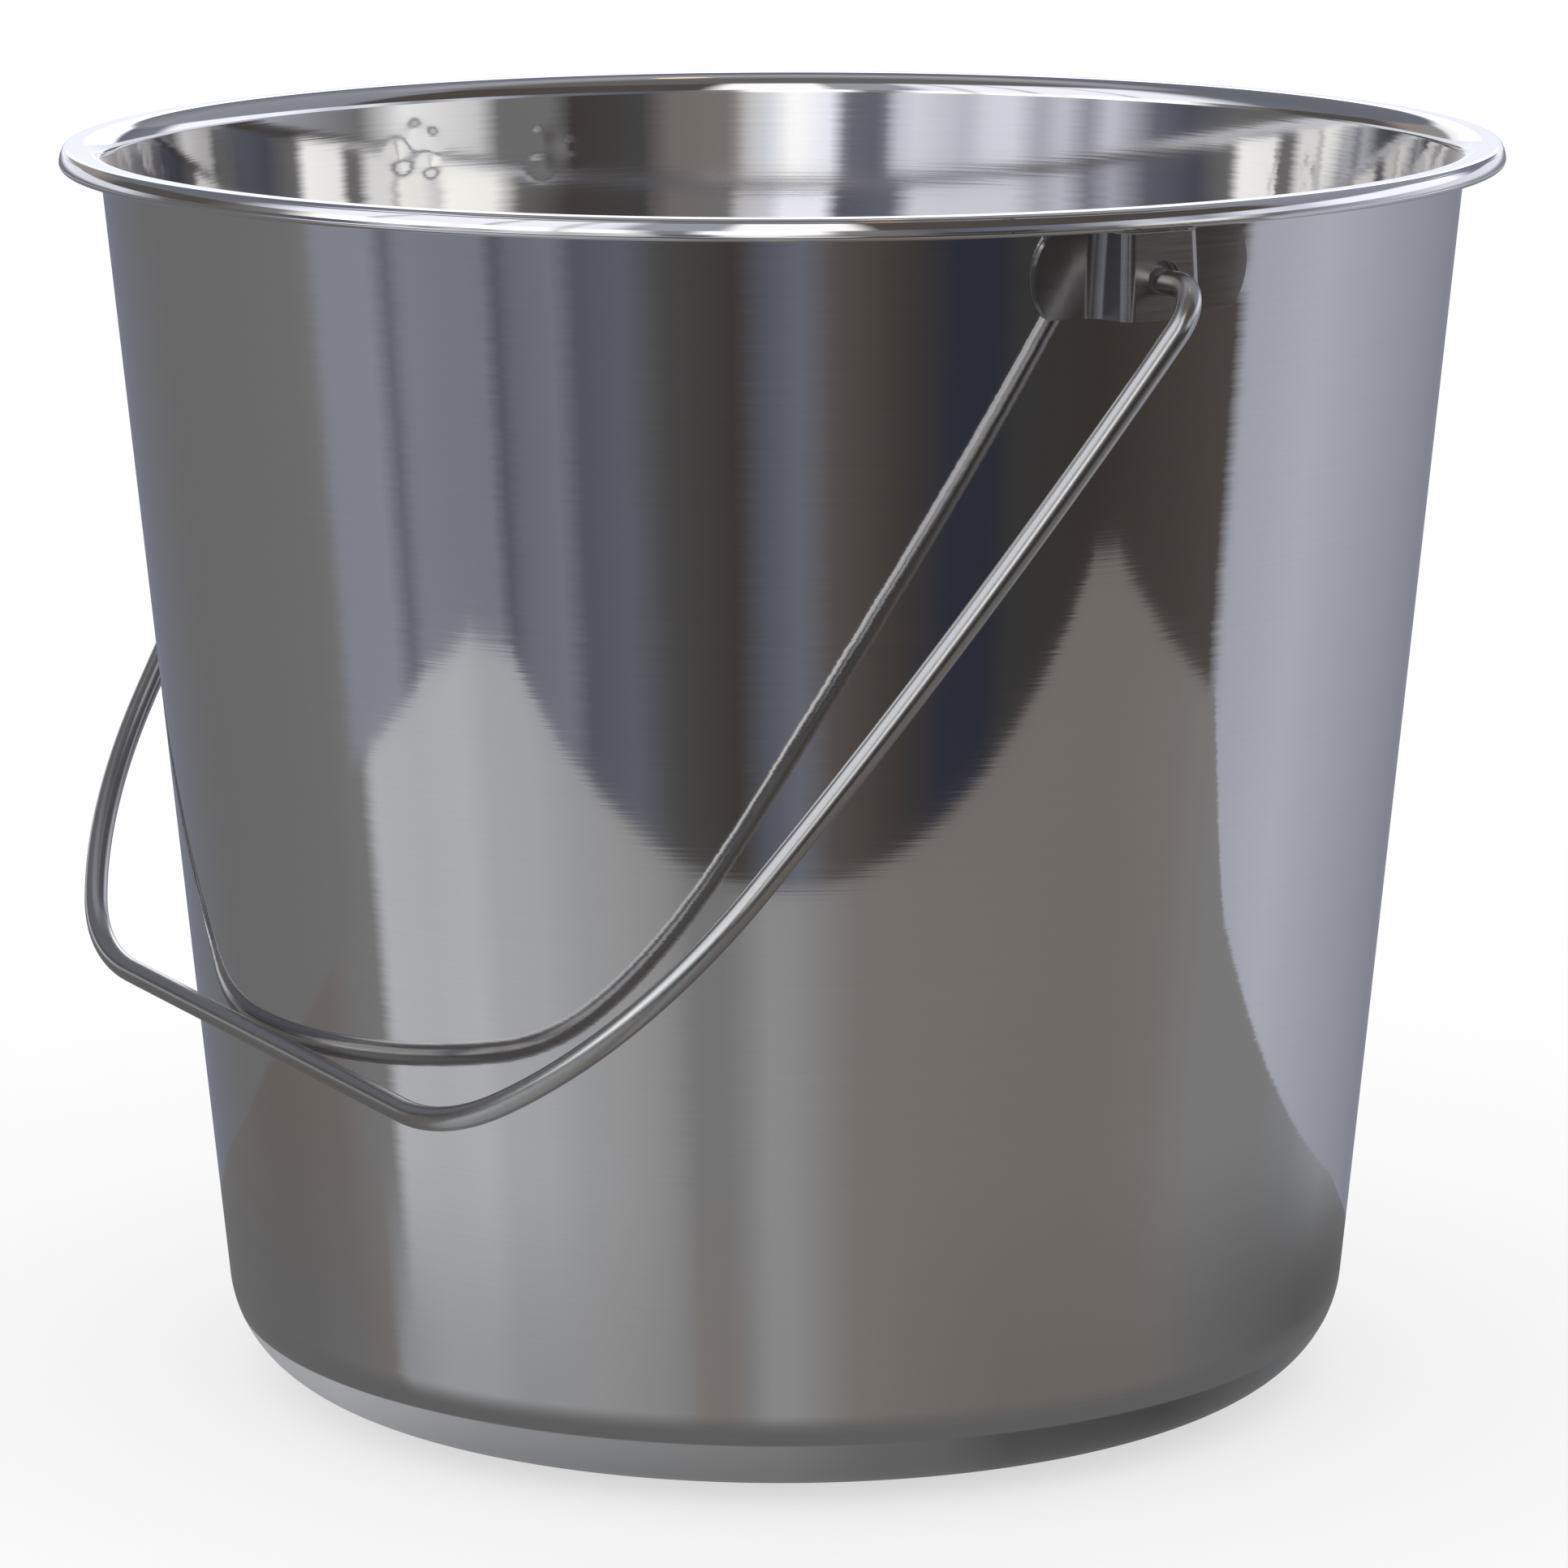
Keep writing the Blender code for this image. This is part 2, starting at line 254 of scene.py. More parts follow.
def shell_faces(count, turn):
    """Faces of the shell. Each face of the sheet is a fan round its centre and then rings of as
    many vertices as turn says, and the last faces join the two at the end of the roll."""
    rings = count - 1
    inner_centre, outer_centre = 2 * rings * turn, 2 * rings * turn + 1
    outer = rings * turn
    last = (rings - 1) * turn
    faces = []
    for j in range(turn):
        k = (j + 1) % turn
        faces.append((inner_centre, j, k))
        faces.append((outer_centre, outer + k, outer + j))
        for i in range(rings - 1):
            a, b = i * turn, (i + 1) * turn
            faces.append((a + j, b + j, b + k, a + k))
            faces.append((outer + a + k, outer + b + k, outer + b + j, outer + a + j))
        faces.append((last + j, outer + last + j, outer + last + k, last + k))
    return faces


def sheet_normals(rows, angles, push):
    """Normals of a face of the sheet, from its profile and from how the dimples change on it."""
    _, height, normal_r, normal_z = rows.T
    normals = np.stack([
        normal_r[:, None] * np.cos(angles),
        normal_r[:, None] * np.sin(angles),
        np.broadcast_to(normal_z[:, None], push.shape),
    ], axis=2)
    gaps = np.gradient(height)
    gaps[np.abs(gaps) < 1e-9] = 1.0
    rise = np.gradient(push, axis=0) / gaps[:, None]
    wide = np.concatenate([angles[-1:] - 2 * math.pi, angles, angles[:1] + 2 * math.pi])
    padded = np.concatenate([push[:, -1:], push, push[:, :1]], axis=1)
    swing = (padded[:, 2:] - padded[:, :-2]) / (wide[2:] - wide[:-2]) / EAR_WALL_RADIUS
    normals[..., 2] += rise
    normals[..., 0] += -swing * np.sin(angles)
    normals[..., 1] += swing * np.cos(angles)
    return normals / np.linalg.norm(normals, axis=2, keepdims=True)


def build_body(material):
    """The drawn shell with its rolled rim: two faces of a sheet, joined at the end of the roll."""
    rows = np.array(sheet_path())
    angles = columns()
    radius, height, normal_r, normal_z = rows.T
    on_wall = (np.abs(normal_z) < WALL_STEEPNESS)[:, None]
    push = dimples(angles, height) * on_wall
    verts, normals = [], []
    for offset, share, side in ((0.0, 1.0, 1.0), (SHEET, OUTSIDE_SHARE, -1.0)):
        r = (radius - offset * normal_r)[:, None] + push * share
        z = np.broadcast_to((height - offset * normal_z)[:, None], r.shape)
        verts.append(np.stack([r * np.cos(angles), r * np.sin(angles), z], axis=2))
        normals.append(sheet_normals(rows, angles, push * share) * side)
    centres = [face[0, :1] for face in verts]
    verts = np.concatenate([face[1:].reshape(-1, 3) for face in verts] + centres)
    up_and_down = [[[0.0, 0.0, 1.0], [0.0, 0.0, -1.0]]]
    normals = np.concatenate([face[1:].reshape(-1, 3) for face in normals] + up_and_down)
    mesh = bpy.data.meshes.new("pail_shell")
    mesh.from_pydata(verts.tolist(), [], shell_faces(len(rows), len(angles)))
    mesh.shade_smooth()
    mesh.normals_split_custom_set_from_vertices(normals.tolist())
    return link("pail_shell", mesh, material)


# The ears

def ear_path(z):
    """Plan of the strap's outer face at a height: wing, side, front, side and wing."""
    wing_radius = wall_radius(z) + TOUCH_GAP + STRAP
    end_angle = math.asin((EAR_HALF_LENGTH + SPARE) / wing_radius)
    foot_angle = math.asin(FOOT_HALF_WIDTH / wing_radius)
    foot = (wing_radius * math.cos(foot_angle), FOOT_HALF_WIDTH)
    clear_angle = foot_angle + 1.5 * FOOT_BEND_RADIUS / wing_radius
    left_wing = arc((0.0, 0.0), wing_radius, -end_angle, -clear_angle, 12) + [(foot[0], -foot[1])]
    right_wing = [foot] + arc((0.0, 0.0), wing_radius, clear_angle, end_angle, 12)
    flare = FACE_FLARE * ((EAR_TOP - z) / (EAR_TOP - EAR_BOTTOM) - 0.5)
    front = [(EAR_FACE_X, -FACE_HALF_WIDTH), (EAR_FACE_X, FACE_HALF_WIDTH + flare)]
    bends = [FOOT_BEND_RADIUS, FACE_BEND_RADIUS, FACE_BEND_RADIUS, FOOT_BEND_RADIUS]
    radii = [0] * (len(left_wing) - 2) + bends + [0] * (len(right_wing) - 2)
    return rounded(left_wing + front + right_wing, radii, 12)


def ear_outline():
    """Front view of the ear as (y, z) points: a bar with shallow round ends and eased corners."""
    middle = (EAR_TOP + EAR_BOTTOM) / 2
    rise = (EAR_TOP - EAR_BOTTOM) / 2 - WING_END_FILLET
    reach = WING_END_RADIUS - WING_END_FILLET
    sweep = math.asin(rise / reach)
    end_centre = EAR_HALF_LENGTH - WING_END_RADIUS
    eased_y = end_centre + reach * math.cos(sweep)
    low = arc((eased_y, middle - rise), WING_END_FILLET, -math.pi / 2, -sweep, 6)
    end = arc((end_centre, middle), WING_END_RADIUS, -sweep, sweep, 20)
    high = arc((eased_y, middle + rise), WING_END_FILLET, sweep, math.pi / 2, 6)
    right = low + end[1:-1] + high
    whole = right + [(-y, z) for y, z in right[::-1]]
    return [(y + EAR_SHIFT, z) for y, z in whole]


def block_of(outline, x_low, x_high):
    """A closed block with the given (y, z) outline."""
    work = bmesh.new()
    verts = [work.verts.new((x_low, y, z)) for y, z in outline]
    face = work.faces.new(verts)
    pushed = bmesh.ops.extrude_face_region(work, geom=[face])
    moved = [v for v in pushed["geom"] if isinstance(v, bmesh.types.BMVert)]
    bmesh.ops.translate(work, verts=moved, vec=(x_high - x_low, 0.0, 0.0))
    bmesh.ops.recalc_face_normals(work, faces=work.faces[:])
    mesh = bpy.data.meshes.new("cutter")
    work.to_mesh(mesh)
    work.free()
    return link("cutter", mesh)


def strap_sheet(name, material):
    """The bent strap as a thin sheet, with the modifier that gives it its thickness."""
    work = bmesh.new()
    levels = [EAR_BOTTOM - SPARE, EAR_TOP + SPARE]
    low, high = [[work.verts.new((x, y, z)) for x, y in ear_path(z)] for z in levels]
    for i in range(len(low) - 1):
        work.faces.new((low[i], low[i + 1], high[i + 1], high[i]))
    mesh = bpy.data.meshes.new(name)
    work.to_mesh(mesh)
    work.free()
    mesh.shade_smooth()
    strap = link(name, mesh, material)
    thickness = strap.modifiers.new("strap", "SOLIDIFY")
    thickness.thickness = STRAP
    thickness.offset = -1.0
    thickness.use_even_offset = True
    return strap


def build_ear(name, material, turn):
    """The bent strap, trimmed to its outline, drilled, and with its edges broken."""
    strap = strap_sheet(name, material)
    hole = arc((0.0, HOLE_HEIGHT), HOLE_RADIUS, 0.0, 2 * math.pi, 64)[:-1]
    cutters = [
        ("INTERSECT", block_of(ear_outline(), *OUTLINE_CUT)),
        ("DIFFERENCE", block_of(hole, *HOLE_CUT)),
    ]
    for operation, cutter in cutters:
        cut = strap.modifiers.new("cut", "BOOLEAN")
        cut.operation = operation
        cut.object = cutter
    edges = strap.modifiers.new("edges", "BEVEL")
    edges.width = EDGE_BREAK
    edges.segments = 3
    edges.limit_method = "ANGLE"
    edges.angle_limit = math.radians(50)
    bpy.context.view_layer.update()
    shape = strap.evaluated_get(bpy.context.evaluated_depsgraph_get())
    finished = bpy.data.meshes.new_from_object(shape)
    finished.transform(Matrix.Rotation(turn, 4, "Z"))
    strap.modifiers.clear()
    strap.data = finished
    for _, cutter in cutters:
        bpy.data.objects.remove(cutter)
    finished.shade_smooth()
    even = strap.modifiers.new("even", "WEIGHTED_NORMAL")
    even.mode = "FACE_AREA"
    even.weight = 100
    return strap


# The bail

def bent_on(line, heading, radius, sweep, steps):
    """Carry a line of (x, depth) round a bend towards the middle, and return its new heading."""
    x, depth = line[-1]
    centre = (x - radius * math.cos(heading), depth - radius * math.sin(heading))
    line += arc(centre, radius, heading, heading + sweep, steps)[1:]
    return heading + sweep


def bail_side(shape, tilt):
    """One side of the hanging bail from pin end to grip: (x, depth below hinge, wire radius)."""
    slant, leg_radius, leg_length, ease_radius, ease_length, corner_radius = shape
    head_end = PIN_END_X + HEAD_LENGTH
    side = [
        (PIN_END_X, 0.0, HEAD_RADIUS - HEAD_CHAMFER),
        (PIN_END_X + HEAD_CHAMFER, 0.0, HEAD_RADIUS),
        (head_end, 0.0, HEAD_RADIUS),
        (head_end + HEAD_TAPER, 0.0, WIRE_RADIUS),
        (head_end + HEAD_TAPER * 2, 0.0, WIRE_RADIUS),
        (LEG_TOP_X - TOP_BEND_RADIUS - BEND_LEAD, 0.0, WIRE_RADIUS),
    ]
    bend_centre = (LEG_TOP_X - TOP_BEND_RADIUS, TOP_BEND_RADIUS)
    line = arc(bend_centre, TOP_BEND_RADIUS, -math.pi / 2, slant, 28)
    heading = bent_on(line, slant, leg_radius, leg_length / leg_radius, 50)
    heading = bent_on(line, heading, ease_radius, ease_length / ease_radius, 40)
    bent_on(line, heading, corner_radius, math.pi / 2 + tilt - heading, 40)
    return side + [(x, depth, WIRE_RADIUS) for x, depth in line]


def bail_line():
    """The whole bail, hanging down, from pin end to pin end: (x, out of plane, depth, radius)."""
    near = bail_side(NEAR_SIDE, GRIP_TILT)
    far = bail_side(FAR_SIDE, -GRIP_TILT)
    (near_x, near_depth, size), (far_x, far_depth, _) = near[-1], far[-1]
    span, drop = near_x + far_x, far_depth - near_depth
    steps = [i / 10 for i in range(1, 10)]
    grip = [(near_x - span * t, near_depth + drop * t, size) for t in steps]
    whole = near + grip + [(-x, depth, size) for x, depth, size in far[::-1]]
    shifted = [(x + SIDE_PLAY, depth, size) for x, depth, size in whole]
    return [(x, TWIST * x * depth / GRIP_DEPTH, depth, size) for x, depth, size in shifted]


# The wire less deep than this is at the ears and can't rest on the wall
PIN_DEPTH = 0.02
# The bail hangs between these angles from straight down
HANG_RANGE = (math.radians(25.0), math.radians(60.0))


def wall_clearance(points, angle):
    """Least gap between the hanging wire and the pail's wall at an angle from straight down."""
    least = 1.0
    for x, out, depth in points:
        if depth < PIN_DEPTH:
            continue
        y = out * math.cos(angle) - depth * math.sin(angle)
        z = HINGE_HEIGHT - out * math.sin(angle) - depth * math.cos(angle)
        least = min(least, (math.hypot(x, y) - wall_radius(z)) * math.cos(WALL_LEAN) - WIRE_RADIUS)
    return least


def hang_angle(points):
    """Angle from straight down at which the grip rests on the wall."""
    low, high = HANG_RANGE
    for _ in range(40):
        middle = (low + high) / 2
        if wall_clearance(points, middle) < TOUCH_GAP:
            low = middle
        else:
            high = middle
    return high


def build_bail(material):
    """The round wire, swept as a mesh in its own plane and then turned to its hang."""
    whole = bail_line()
    line = np.array([(x, out, -depth) for x, out, depth, _ in whole])
    sizes = np.array([size for _, _, _, size in whole])
    along = np.gradient(line, axis=0)
    along /= np.linalg.norm(along, axis=1, keepdims=True)
    across = np.cross(along, (0.0, 1.0, 0.0))
    across /= np.linalg.norm(across, axis=1, keepdims=True)
    over = np.cross(across, along)
    spin = np.linspace(0.0, 2 * math.pi, WIRE_SIDES, endpoint=False)
    verts = []
    for point, side, top, size in zip(line, across, over, sizes):
        for angle in spin:
            verts.append(point + size * (math.cos(angle) * side + math.sin(angle) * top))
    faces = []
    for i in range(len(line) - 1):
        for j in range(WIRE_SIDES):
            k = (j + 1) % WIRE_SIDES
            a, b = i * WIRE_SIDES, (i + 1) * WIRE_SIDES
            faces.append((a + j, b + j, b + k, a + k))
    faces.append(tuple(range(WIRE_SIDES))[::-1])
    last = (len(line) - 1) * WIRE_SIDES
    faces.append(tuple(range(last, last + WIRE_SIDES)))
    mesh = bpy.data.meshes.new("bail_wire")
    mesh.from_pydata(np.array(verts).tolist(), [], faces)
    work = bmesh.new()
    work.from_mesh(mesh)
    bmesh.ops.recalc_face_normals(work, faces=work.faces[:])
    work.to_mesh(mesh)
    work.free()
    mesh.shade_smooth()
    mesh.set_sharp_from_angle(angle=math.radians(35))
    angle = hang_angle([point[:3] for point in whole])
    mesh.transform(Matrix.Translation((0.0, 0.0, HINGE_HEIGHT)) @ Matrix.Rotation(-angle, 4, "X"))
    return link("bail_wire", mesh, material)


# Materials

# Each steel's colour, roughness, anisotropy, fineness of its streaks along X, Y and Z, heights of
# the streaks and of the waves, and how far its normals swing round the pail's axis. The wire isn't
# turned, so its normals don't.
STEELS = {
    "polished_wall": ((0.64, 0.63, 0.63), 0.045, 0.6, (14.0, 14.0, 1500.0), 2.4e-6, 4e-5, 0.02),
    "pressed_ear": ((0.38, 0.37, 0.36), 0.2, 0.3, (60.0, 60.0, 1400.0), 3e-6, 3e-5, 0.01),
    "drawn_wire": ((0.45, 0.445, 0.435), 0.22, 0.2, (500.0, 500.0, 500.0), 3e-6, 2e-5, None),
}
# How the streaks and clouds vary a steel's roughness and colour: (least, most)
ROUGHNESS_SPREAD = (0.8, 1.25)
COLOUR_SPREAD = (0.94, 1.04)
# The part of a noise's range from 0 to 1 that it mostly stays in
NOISE_RANGE = (0.3, 0.7)
# How fine the clouds, the waves and the turning lines are
CLOUD_GRAIN = 18.0
WAVE_GRAIN = 22.0
RING_GRAIN = (2.0, 2.0, 900.0)
# The steel's own soft light, where light has bounced more often than this
DEEP_LIGHT = 0.26
DEEP_COLOUR = (1.0, 0.99, 1.0, 1.0)
DEEP_BOUNCES = 2.5


def node(tree, kind, **settings):
    """A new node with the given settings."""
    made = tree.nodes.new(kind)
    for name, value in settings.items():
        setattr(made, name, value)
    return made


def maths(tree, operation, first, second=0.0, third=0.0):
    """A Math node, fed by sockets or plain numbers, and its result."""
    made = node(tree, "ShaderNodeMath", operation=operation)
    for socket, value in zip(made.inputs, (first, second, third)):
        if isinstance(value, (int, float)):
            socket.default_value = value
        else:
            tree.links.new(value, socket)
    return made.outputs[0]


def noise(tree, vector, scale, detail=2.0, roughness=0.5):
    """A 3-D noise and its value."""
    made = node(tree, "ShaderNodeTexNoise")
    made.inputs["Scale"].default_value = scale
    made.inputs["Detail"].default_value = detail
    made.inputs["Roughness"].default_value = roughness
    tree.links.new(vector, made.inputs["Vector"])
    return made.outputs["Fac"]


def stretched(tree, vector, scale):
    """The vector scaled by a different amount along each axis."""
    made = node(tree, "ShaderNodeMapping")
    made.inputs["Scale"].default_value = scale
    tree.links.new(vector, made.inputs["Vector"])
    return made.outputs["Vector"]


def bump(tree, height, distance, normal=None):
    """The normal of a surface raised by a height from 0 to 1 times the distance."""
    made = node(tree, "ShaderNodeBump")
    made.inputs["Strength"].default_value = 1.0
    made.inputs["Distance"].default_value = distance
    tree.links.new(height, made.inputs["Height"])
    if normal is not None:
        tree.links.new(normal, made.inputs["Normal"])
    return made.outputs["Normal"]


def swung(tree, shader, place, normal, swerve):
    """The normal swung to and fro round the pail's axis from one turning line to the next."""
    tangent = node(tree, "ShaderNodeTangent", direction_type="RADIAL", axis="Z").outputs["Tangent"]
    tree.links.new(tangent, shader.inputs["Tangent"])
    rings = noise(tree, stretched(tree, place, RING_GRAIN), 1.0, 4.0, 0.7)
    swing = maths(tree, "MULTIPLY_ADD", rings, swerve, -0.5 * swerve)
    tilt = node(tree, "ShaderNodeVectorMath", operation="MULTIPLY_ADD")
    for socket, value in zip(tilt.inputs, (tangent, swing, normal)):
        tree.links.new(value, socket)
    even = node(tree, "ShaderNodeVectorMath", operation="NORMALIZE")
    tree.links.new(tilt.outputs["Vector"], even.inputs[0])
    return even.outputs["Vector"]


def light_after_many_bounces(tree, shader):
    """Give the steel a soft light of its own where light has bounced too often to be followed."""
    depth = node(tree, "ShaderNodeLightPath").outputs["Ray Depth"]
    shader.inputs["Emission Color"].default_value = DEEP_COLOUR
    strength = maths(tree, "MULTIPLY", maths(tree, "GREATER_THAN", depth, DEEP_BOUNCES), DEEP_LIGHT)
    tree.links.new(strength, shader.inputs["Emission Strength"])


def steel(name):
    """Bare stainless steel with the fine parallel lines that turning or drawing leaves."""
    colour, roughness, anisotropy, grain, streak_height, wave_height, swerve = STEELS[name]
    material = bpy.data.materials.new(name)
    material.use_nodes = True
    tree = material.node_tree
    shader = tree.nodes["Principled BSDF"]
    shader.inputs["Metallic"].default_value = 1.0
    shader.inputs["Anisotropic"].default_value = anisotropy
    shader.inputs["Anisotropic Rotation"].default_value = 0.25
    light_after_many_bounces(tree, shader)
    place = node(tree, "ShaderNodeTexCoord").outputs["Object"]
    streaks = noise(tree, stretched(tree, place, grain), 1.0, 3.0, 0.6)
    clouds = noise(tree, place, CLOUD_GRAIN, 3.0, 0.55)
    mix = maths(tree, "MULTIPLY_ADD", clouds, 0.5, 0.0)
    mix = maths(tree, "MULTIPLY_ADD", streaks, 0.5, mix)
    ramp = node(tree, "ShaderNodeMapRange")
    ramp.inputs["From Min"].default_value = NOISE_RANGE[0]
    ramp.inputs["From Max"].default_value = NOISE_RANGE[1]
    ramp.inputs["To Min"].default_value = roughness * ROUGHNESS_SPREAD[0]
    ramp.inputs["To Max"].default_value = roughness * ROUGHNESS_SPREAD[1]
    tree.links.new(mix, ramp.inputs["Value"])
    tree.links.new(ramp.outputs["Result"], shader.inputs["Roughness"])
    tint = node(tree, "ShaderNodeMix", data_type="RGBA")
    for socket, share in zip(("A", "B"), COLOUR_SPREAD):
        tint.inputs[socket].default_value = [min(1.0, c * share) for c in colour] + [1.0]
    tree.links.new(mix, tint.inputs["Factor"])
    tree.links.new(tint.outputs["Result"], shader.inputs["Base Color"])
    waves = bump(tree, noise(tree, place, WAVE_GRAIN, 1.0), wave_height)
    normal = bump(tree, streaks, streak_height, waves)
    if swerve:
        normal = swung(tree, shader, place, normal, swerve)
    tree.links.new(normal, shader.inputs["Normal"])
    return material


# The studio set

def linear(level):
    """A display level from 0 to 255 as scene-linear light."""
    level = level / 255
    return level / 12.92 if level <= 0.04045 else ((level + 0.055) / 1.055) ** 2.4


REFLECTANCE = 0.62


def light_colour(levels, bounces=1):
    """The light that shows as the given (red, green, blue) levels once the steel reflects it."""
    return [linear(level) / REFLECTANCE ** bounces for level in levels] + [1.0]


COOL = (-3, 0, 9)
WARM = (4, -1, -4)
NEUTRAL = (0, 0, 0)
GREENISH = (0, 2, -3)
PALE = (-3, 0, 4)


def tone(level, tint=NEUTRAL):
    """A grey level with a tint."""
    return tuple(level + shift for shift in tint)


# Panels round the set as (azimuth in degrees from the camera, positive to its right, level, tint),
# below the horizon, at it, as the pail's inside shows the set after two bounces, and higher up.
BELOW = (
    (-180, 104, COOL), (-160, 102, COOL), (-130, 100, NEUTRAL), (-92, 107, NEUTRAL),
    (-88, 111, NEUTRAL), (-85, 128, COOL), (-74, 130, COOL), (-70.5, 100, COOL), (-67, 122, COOL),
    (-52, 116, COOL), (-49.5, 86, COOL), (-46, 104, COOL), (-39, 112, COOL), (-35, 84, COOL),
    (-27, 92, COOL), (-20, 70, NEUTRAL), (-8, 56, WARM), (-3, 84, COOL), (3, 100, COOL),
    (9, 76, WARM), (20, 58, WARM), (29, 46, COOL), (36, 44, COOL), (41, 52, NEUTRAL),
    (56, 50, WARM), (83, 68, WARM), (86, 158, COOL), (104, 168, COOL), (130, 146, COOL),
    (160, 116, COOL), (180, 108, COOL),
)
LOW = (
    (-180, 214, COOL), (-125, 205, COOL), (-112, 96, NEUTRAL), (-88, 93, NEUTRAL), (-77, 77, COOL),
    (-70, 98, COOL), (-61, 192, COOL), (-56.5, 140, COOL), (-51.5, 190, COOL), (-47, 162, COOL),
    (-42, 208, COOL), (-37.5, 206, COOL), (-33, 180, COOL), (-24, 205, COOL), (-20.5, 190, COOL),
    (-18, 96, COOL), (-11.5, 98, COOL), (-8.5, 228, COOL), (-2, 250, NEUTRAL), (2.5, 206, COOL),
    (6, 184, NEUTRAL), (9, 112, WARM), (20, 106, WARM), (25, 66, NEUTRAL), (38, 56, WARM),
    (42, 106, NEUTRAL), (52, 104, NEUTRAL), (56.5, 196, NEUTRAL), (71, 228, NEUTRAL),
    (81, 106, NEUTRAL), (100, 150, COOL), (125, 210, COOL),
)
INSIDE = (
    (-180, 228, COOL), (-175, 194, COOL), (-165, 178, NEUTRAL), (-161, 106, NEUTRAL),
    (-141, 104, WARM), (-130, 62, NEUTRAL), (-104, 58, WARM), (-85, 96, NEUTRAL),
    (-75, 232, GREENISH), (-57, 238, GREENISH), (-53, 196, NEUTRAL), (-46, 222, GREENISH),
    (-37.5, 226, GREENISH), (-35.5, 168, NEUTRAL), (-32.5, 210, GREENISH), (-25, 210, NEUTRAL),
    (-19.5, 100, NEUTRAL), (-15, 100, NEUTRAL), (-11, 225, NEUTRAL), (4, 235, NEUTRAL),
    (9, 100, NEUTRAL), (24, 70, COOL), (45, 90, COOL), (59, 156, COOL), (69, 116, COOL),
    (79, 178, COOL), (88, 162, COOL), (98, 197, COOL), (133, 200, COOL), (141, 96, COOL),
    (160, 80, COOL), (166, 232, COOL),
)
UPPER = (
    (-180, 104, COOL), (-120, 104, COOL), (-100, 110, COOL), (-85, 238, COOL), (-70, 240, COOL),
    (-68.5, 150, NEUTRAL), (-67, 240, COOL), (-49, 240, COOL), (-47.5, 150, NEUTRAL),
    (-46, 240, COOL), (-36, 240, COOL), (-34.5, 160, NEUTRAL), (-33, 236, COOL), (-28, 225, COOL),
    (-24, 150, COOL), (-10, 150, COOL), (-7, 250, NEUTRAL), (11, 250, NEUTRAL), (15, 72, WARM),
    (84, 70, WARM), (90, 130, COOL), (150, 140, COOL), (180, 104, COOL),
)
CEILING_FRONT = (96, 95, 95)
CEILING_BACK = (150, 150, 156)
LAMP_DIRECTION = (0.110, 0.238, 0.965)
LAMP_LIGHT = (4.0, 2.6, 1.4, 1.0)
# How closely a direction agrees with the lamp's at the lamp's soft edge: (outside it, inside it)
LAMP_EDGE = (0.9992, 0.9998)
# Between which rises, as the Z of a direction, each ring comes in and the inside ring goes out
# again, and where the ceiling starts and its back half meets its front half
LOW_EDGE = (-0.06, 0.01)
UPPER_EDGE = (0.105, 0.15)
INSIDE_START = (0.105, 0.125)
INSIDE_END = (0.37, 0.31)
CEILING_EDGE = (0.79, 0.87)
CEILING_MIDDLE = (-0.35, 0.05)
# What isn't a reflection in the steel gets this plain light
PLAIN_LIGHT = (1.12, 1.12, 1.12, 1.0)


def colour_ramp(tree, position, ring, bounces=1):
    """A colour ramp all the way round from a ring of panels."""
    made = node(tree, "ShaderNodeValToRGB")
    stops = made.color_ramp.elements
    while len(stops) < len(ring):
        stops.new(0.5)
    for stop, (azimuth, level, tint) in zip(stops, ring):
        stop.position = 0.5 + azimuth / 360
        stop.color = light_colour(tone(level, tint), bounces)
    tree.links.new(position, made.inputs["Fac"])
    return made.outputs["Color"]


def blend_colours(tree, share, first, second):
    """first where share is 0, and second where it is 1."""
    made = node(tree, "ShaderNodeMix", data_type="RGBA")
    for name, value in (("Factor", share), ("A", first), ("B", second)):
        if isinstance(value, bpy.types.NodeSocket):
            tree.links.new(value, made.inputs[name])
        else:
            made.inputs[name].default_value = value
    return made.outputs["Result"]


def smooth_step(tree, value, edge):
    """0 before the first value of the edge, 1 after the second, and smooth between them."""
    made = node(tree, "ShaderNodeMapRange", interpolation_type="SMOOTHSTEP")
    made.inputs["From Min"].default_value = edge[0]
    made.inputs["From Max"].default_value = edge[1]
    tree.links.new(value, made.inputs["Value"])
    return made.outputs["Result"]


def turned(tree, vector, angle):
    """The vector turned about Z."""
    made = node(tree, "ShaderNodeMapping")
    made.inputs["Rotation"].default_value = (0.0, 0.0, angle)
    tree.links.new(vector, made.inputs["Vector"])
    return made.outputs["Vector"]


def azimuth_of(tree, x, y):
    """Azimuth of a direction in the set, as 0 to 1 with the camera's side in the middle."""
    angle = maths(tree, "ARCTAN2", x, maths(tree, "MULTIPLY", y, -1.0))
    return maths(tree, "MULTIPLY_ADD", angle, 1 / (2 * math.pi), 0.5)


